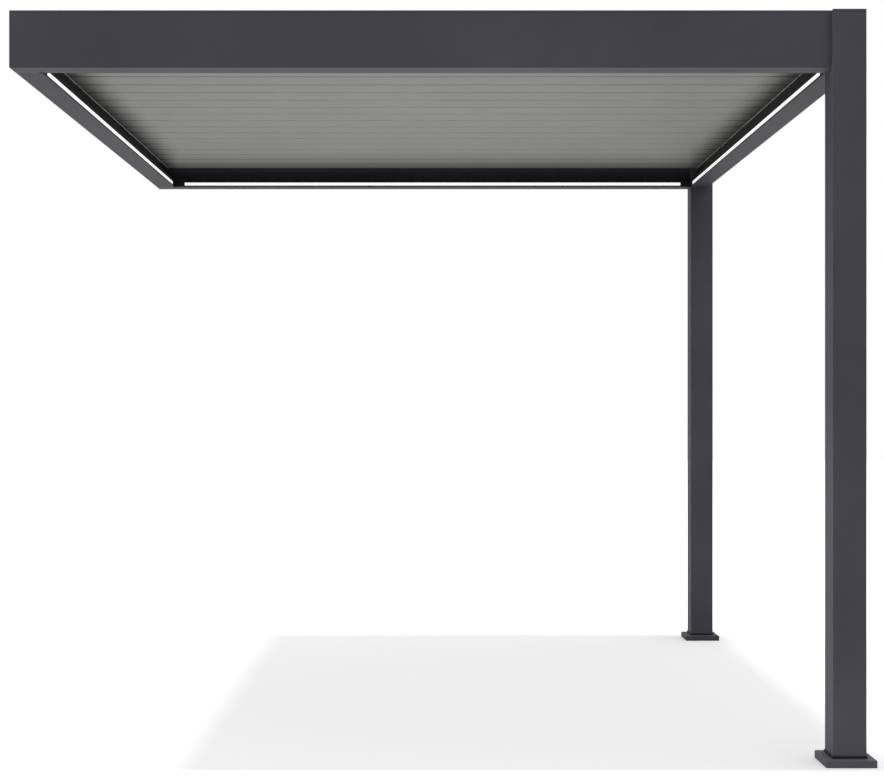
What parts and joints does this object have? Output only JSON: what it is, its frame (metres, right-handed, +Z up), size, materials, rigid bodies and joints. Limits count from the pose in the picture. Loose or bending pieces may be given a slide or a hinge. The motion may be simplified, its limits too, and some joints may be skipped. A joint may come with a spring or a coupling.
{
  "type": "louvered pergola",
  "caption": "Wall-mounted pergola with two square posts, a dark frame of hollow beams, light strips along the inner faces and a roof of grey louvers that turn together.",
  "frame": {"origin": "centre of the wall beam's outer face, where it meets the house wall", "axes": "+X away from the wall to the posts, +Y from the front to the back, +Z up"},
  "size_m": [2.8635, 3.057, 2.5],
  "materials": {
    "frame_dark": "anthracite powder coat, satin, fine texture",
    "louver_grey": "light grey powder coat, satin",
    "light_strip": "opal diffuser, lit white",
    "bare_aluminium": "mill finish",
    "zinc_steel": "zinc plated"
  },
  "bodies": {
    "frame": {"back_anchor_plate": "zinc_steel", "back_beam": "frame_dark", "back_closing_strip": "frame_dark", "back_end_cap": "frame_dark", "back_foot_cover": "frame_dark", "back_gutter": "frame_dark", "back_light": "light_strip", "back_post": "frame_dark", "back_post_cap": "frame_dark", "front_anchor_plate": "zinc_steel", "front_beam": "frame_dark", "front_closing_strip": "frame_dark", "front_end_cap": "frame_dark", "front_foot_cover": "frame_dark", "front_gutter": "frame_dark", "front_light": "light_strip", "front_post": "frame_dark", "front_post_cap": "frame_dark", "side_beam": "frame_dark", "side_gutter": "frame_dark", "side_light": "light_strip", "wall_beam": "frame_dark", "wall_gutter": "frame_dark", "wall_light": "light_strip"},
    "louver_01": {"louver_01": "louver_grey"},
    "louver_02": {"louver_02": "louver_grey"},
    "louver_03": {"louver_03": "louver_grey"},
    "louver_04": {"louver_04": "louver_grey"},
    "louver_05": {"louver_05": "louver_grey"},
    "louver_06": {"louver_06": "louver_grey"},
    "louver_07": {"louver_07": "louver_grey"},
    "louver_08": {"louver_08": "louver_grey"},
    "louver_09": {"louver_09": "louver_grey"},
    "louver_10": {"louver_10": "louver_grey"},
    "louver_11": {"louver_11": "louver_grey"},
    "louver_12": {"louver_12": "louver_grey"},
    "louver_13": {"louver_13": "louver_grey"},
    "louver_14": {"louver_14": "louver_grey"},
    "louver_15": {"louver_15": "louver_grey"},
    "louver_16": {"louver_16": "louver_grey"},
    "louver_17": {"louver_17": "louver_grey"},
    "louver_18": {"louver_18": "louver_grey"},
    "link_bar": {"link_bar": "bare_aluminium"}
  },
  "joints": [
    {"name": "louver_01_turn", "type": "hinge", "parent": "frame", "child": "louver_01", "pos_m": [0.066, -1.275, 0.025], "axis": [1, 0, 0], "range_deg": [0, 110]},
    {"name": "louver_02_turn", "type": "hinge", "parent": "frame", "child": "louver_02", "pos_m": [0.066, -1.125, 0.025], "axis": [1, 0, 0], "range_deg": [0, 110]},
    {"name": "louver_03_turn", "type": "hinge", "parent": "frame", "child": "louver_03", "pos_m": [0.066, -0.975, 0.025], "axis": [1, 0, 0], "range_deg": [0, 110]},
    {"name": "louver_04_turn", "type": "hinge", "parent": "frame", "child": "louver_04", "pos_m": [0.066, -0.825, 0.025], "axis": [1, 0, 0], "range_deg": [0, 110]},
    {"name": "louver_05_turn", "type": "hinge", "parent": "frame", "child": "louver_05", "pos_m": [0.066, -0.675, 0.025], "axis": [1, 0, 0], "range_deg": [0, 110]},
    {"name": "louver_06_turn", "type": "hinge", "parent": "frame", "child": "louver_06", "pos_m": [0.066, -0.525, 0.025], "axis": [1, 0, 0], "range_deg": [0, 110]},
    {"name": "louver_07_turn", "type": "hinge", "parent": "frame", "child": "louver_07", "pos_m": [0.066, -0.375, 0.025], "axis": [1, 0, 0], "range_deg": [0, 110]},
    {"name": "louver_08_turn", "type": "hinge", "parent": "frame", "child": "louver_08", "pos_m": [0.066, -0.225, 0.025], "axis": [1, 0, 0], "range_deg": [0, 110]},
    {"name": "louver_09_turn", "type": "hinge", "parent": "frame", "child": "louver_09", "pos_m": [0.066, -0.075, 0.025], "axis": [1, 0, 0], "range_deg": [0, 110]},
    {"name": "louver_10_turn", "type": "hinge", "parent": "frame", "child": "louver_10", "pos_m": [0.066, 0.075, 0.025], "axis": [1, 0, 0], "range_deg": [0, 110]},
    {"name": "louver_11_turn", "type": "hinge", "parent": "frame", "child": "louver_11", "pos_m": [0.066, 0.225, 0.025], "axis": [1, 0, 0], "range_deg": [0, 110]},
    {"name": "louver_12_turn", "type": "hinge", "parent": "frame", "child": "louver_12", "pos_m": [0.066, 0.375, 0.025], "axis": [1, 0, 0], "range_deg": [0, 110]},
    {"name": "louver_13_turn", "type": "hinge", "parent": "frame", "child": "louver_13", "pos_m": [0.066, 0.525, 0.025], "axis": [1, 0, 0], "range_deg": [0, 110]},
    {"name": "louver_14_turn", "type": "hinge", "parent": "frame", "child": "louver_14", "pos_m": [0.066, 0.675, 0.025], "axis": [1, 0, 0], "range_deg": [0, 110]},
    {"name": "louver_15_turn", "type": "hinge", "parent": "frame", "child": "louver_15", "pos_m": [0.066, 0.825, 0.025], "axis": [1, 0, 0], "range_deg": [0, 110]},
    {"name": "louver_16_turn", "type": "hinge", "parent": "frame", "child": "louver_16", "pos_m": [0.066, 0.975, 0.025], "axis": [1, 0, 0], "range_deg": [0, 110]},
    {"name": "louver_17_turn", "type": "hinge", "parent": "frame", "child": "louver_17", "pos_m": [0.066, 1.125, 0.025], "axis": [1, 0, 0], "range_deg": [0, 110]},
    {"name": "louver_18_turn", "type": "hinge", "parent": "frame", "child": "louver_18", "pos_m": [0.066, 1.275, 0.025], "axis": [1, 0, 0], "range_deg": [0, 110]},
    {"name": "link_bar_turn", "type": "hinge", "parent": "louver_01", "child": "link_bar", "pos_m": [0.055, -1.23814, 0.05081], "axis": [1, 0, 0], "range_deg": [-110, 0]}
  ],
  "couplings": [
    {"joint": "louver_02_turn", "follows": "louver_01_turn", "ratio": 1},
    {"joint": "louver_03_turn", "follows": "louver_01_turn", "ratio": 1},
    {"joint": "louver_04_turn", "follows": "louver_01_turn", "ratio": 1},
    {"joint": "louver_05_turn", "follows": "louver_01_turn", "ratio": 1},
    {"joint": "louver_06_turn", "follows": "louver_01_turn", "ratio": 1},
    {"joint": "louver_07_turn", "follows": "louver_01_turn", "ratio": 1},
    {"joint": "louver_08_turn", "follows": "louver_01_turn", "ratio": 1},
    {"joint": "louver_09_turn", "follows": "louver_01_turn", "ratio": 1},
    {"joint": "louver_10_turn", "follows": "louver_01_turn", "ratio": 1},
    {"joint": "louver_11_turn", "follows": "louver_01_turn", "ratio": 1},
    {"joint": "louver_12_turn", "follows": "louver_01_turn", "ratio": 1},
    {"joint": "louver_13_turn", "follows": "louver_01_turn", "ratio": 1},
    {"joint": "louver_14_turn", "follows": "louver_01_turn", "ratio": 1},
    {"joint": "louver_15_turn", "follows": "louver_01_turn", "ratio": 1},
    {"joint": "louver_16_turn", "follows": "louver_01_turn", "ratio": 1},
    {"joint": "louver_17_turn", "follows": "louver_01_turn", "ratio": 1},
    {"joint": "louver_18_turn", "follows": "louver_01_turn", "ratio": 1},
    {"joint": "link_bar_turn", "follows": "louver_01_turn", "ratio": -1}
  ]
}
